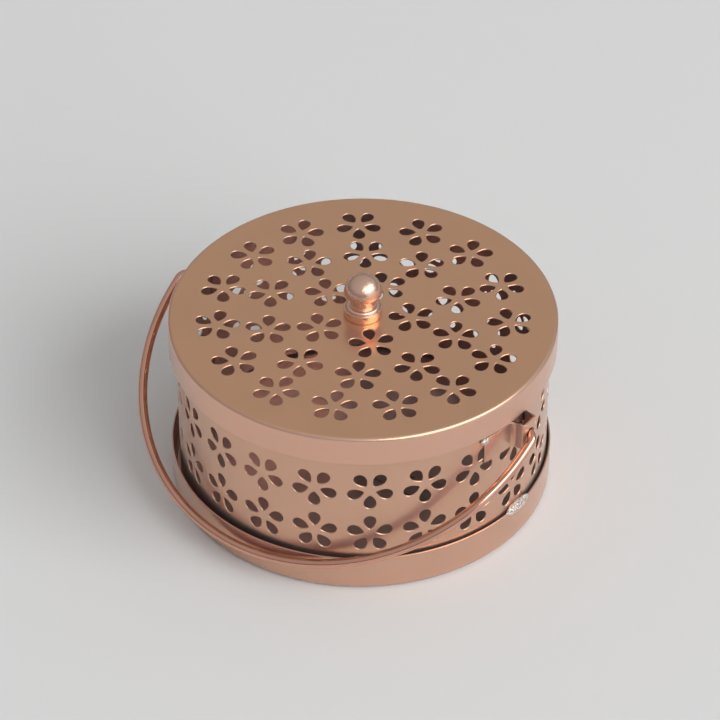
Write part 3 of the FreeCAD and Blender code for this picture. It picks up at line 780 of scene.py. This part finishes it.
def lump(middle, angle, size, seed):
    """Points and faces of a rough lump within an ellipsoid that lies along a ring at an angle."""
    across, around = LUMP_ROWS, LUMP_SIDES
    turn = math.radians(angle)
    out = Vector((math.cos(turn), math.sin(turn), 0))
    along = Vector((-math.sin(turn), math.cos(turn), 0))
    points, faces = [], []

    def add(x, y, z):
        place = Vector((x * size[0] / 2, y * size[1] / 2, z * size[2] / 2))
        grain = 0.5 + 0.6 * noise.fractal(place * 0.9 + Vector((seed, 0, 0)), 1.0, 2.0, 5)
        ragged = 0.5 + noise.noise(Vector((x * 5 + seed, y, z)))
        scale = 1 - LUMP_GRAIN * min(max(grain, 0), 1) - LUMP_RAGGED * min(max(ragged, 0), 1)
        spot = along * place.x + out * place.y
        points.append(tuple(middle + Vector((spot.x, spot.y, place.z)) * scale))

    add(1, 0, 0)
    for row in range(1, across):
        polar = math.pi * row / across
        for step in range(around):
            spin = 2 * math.pi * step / around
            add(math.cos(polar), math.sin(polar) * math.cos(spin), math.sin(polar) * math.sin(spin))
    add(-1, 0, 0)
    last = len(points) - 1
    for step in range(around):
        after = (step + 1) % around
        faces.append((0, 1 + after, 1 + step))
        faces.append((last, last - around + step, last - around + after))
        for row in range(across - 2):
            start = 1 + row * around
            faces.append((start + step, start + after, start + around + after, start + around + step))
    return points, faces


def make_solder():
    """Rough lumps between rim and band, and at the upper corners of the ears."""
    rim = DISH_RADIUS - WALL / 2
    flange = BAND_RADIUS + SEAT_GAP + EAR_WALL
    tacks = [(0, rim, angle, DISH_TOP, TACK_SIZE, seed) for angle, seed in TACKS]
    spots = [(BAND_X, flange, angle - EAR_SPREAD, ear_high[2] - SPOT_DROP, SPOT_SIZE, seed)
             for angle, seed in SPOTS]
    for cad_name, lumps in (("solder_tacks", tacks), ("ear_solder", spots)):
        points, faces = [], []
        for x, radius, angle, height, size, seed in lumps:
            turn = math.radians(angle)
            middle = Vector((x + radius * math.cos(turn), radius * math.sin(turn), height))
            start = len(points)
            more, sides = lump(middle, angle, size, seed)
            points += more
            faces += [tuple(start + number for number in side) for side in sides]
        mesh = mesh_from("rough_" + cad_name, points, None, faces)
        solder = new_object("rough_" + cad_name, mesh, solder_metal, "box")
        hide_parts(cad_name)


def dress_nodes():
    """Plain steel for the inner pieces whose CAD shape is right."""
    for name in ("knob_washer", "knob_screw", "coil_stand", "stand_rivets"):
        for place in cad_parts[name].material_slots:
            place.material = steel


def from_view(vector):
    """From the camera's level frame to the part's."""
    return Matrix.Rotation(VIEW_TURN, 3, "Z") @ Vector(vector)


def area_light(name, place, size, power, glossy):
    """A rectangular lamp for gloss alone, or for all the rest."""
    lamp = bpy.data.lights.new(name, "AREA")
    lamp.shape = "RECTANGLE"
    lamp.size, lamp.size_y = size
    lamp.energy = power
    thing = bpy.data.objects.new(name, lamp)
    bpy.context.scene.collection.objects.link(thing)
    thing.location = from_view(place)
    aim = from_view(LAMP_TARGET) - thing.location
    thing.rotation_euler = aim.to_track_quat("-Z", "Y").to_euler()
    thing.visible_glossy = glossy
    thing.visible_diffuse = not glossy


def make_stage():
    """Pale floor and a soft studio, darker along the walls, with a large window to the right."""
    floor = bpy.data.meshes.new("floor")
    corners = [(u * FLOOR_HALF, v * FLOOR_HALF, FLOOR_LEVEL) for u, v in ((-1, -1), (1, -1), (1, 1), (-1, 1))]
    floor.from_pydata(corners, [], [(0, 1, 2, 3)])
    plane = bpy.data.objects.new("floor", floor)
    bpy.context.scene.collection.objects.link(plane)
    material = bpy.data.materials.new("floor_paint")
    material.use_nodes = True
    shader = material.node_tree.nodes["Principled BSDF"]
    shader.inputs["Roughness"].default_value = 0.9
    shader.inputs["Specular IOR Level"].default_value = 0.1
    shader.inputs["Base Color"].default_value = FLOOR_PAINT
    floor.materials.append(material)

    world = bpy.data.worlds.new("studio")
    world.use_nodes = True
    bpy.context.scene.world = world
    tree = world.node_tree
    toward = node(tree, "ShaderNodeVectorMath", operation="DOT_PRODUCT")
    tree.links.new(node(tree, "ShaderNodeTexCoord").outputs["Generated"], toward.inputs[0])
    toward.inputs[1].default_value = from_view(SKY_BRIGHT_SIDE)
    sky = mixed(tree, mapped(tree, toward.outputs["Value"], -0.7, 0.9, 0, 1), SKY_DARK, SKY_LIGHT)
    rise = node(tree, "ShaderNodeSeparateXYZ")
    tree.links.new(node(tree, "ShaderNodeTexCoord").outputs["Generated"], rise.inputs["Vector"])
    wall = mapped(tree, rise.outputs["Z"], *ROOM_WALL_TOP, 0, 1)
    background = tree.nodes["Background"]
    tree.links.new(mixed(tree, wall, ROOM_WALL, sky), background.inputs["Color"])
    for lamp in LAMPS:
        area_light(*lamp)


def make_camera():
    """The camera of the photograph."""
    elevation = math.radians(CAMERA_ELEVATION)
    forward = Vector((0, math.cos(elevation), -math.sin(elevation)))
    up = Vector((0, math.sin(elevation), math.cos(elevation)))
    right = Vector((1, 0, 0))
    spot = from_view(right * CAMERA_RIGHT + up * CAMERA_UP - forward * CAMERA_DISTANCE)
    spot += Vector((BAND_X, 0, CAMERA_AIM_HEIGHT))
    columns = [from_view(right), from_view(up), from_view(-forward)]
    camera = bpy.data.cameras.new("camera")
    camera.lens = LENS
    camera.sensor_width = SENSOR
    camera.clip_end = CLIP_END
    thing = bpy.data.objects.new("camera", camera)
    bpy.context.scene.collection.objects.link(thing)
    thing.matrix_world = Matrix.Translation(spot * MM) @ Matrix(columns).transposed().to_4x4()
    bpy.context.scene.camera = thing


make_band()
make_lid()
make_dish()
make_knob()
make_ear("ear_strap_right", 1, "ear_right")
make_ear("ear_strap_left", -1, "ear_left")
make_bail()
make_solder()
dress_nodes()
make_stage()
make_camera()
bpy.context.scene.view_settings.view_transform = "Standard"
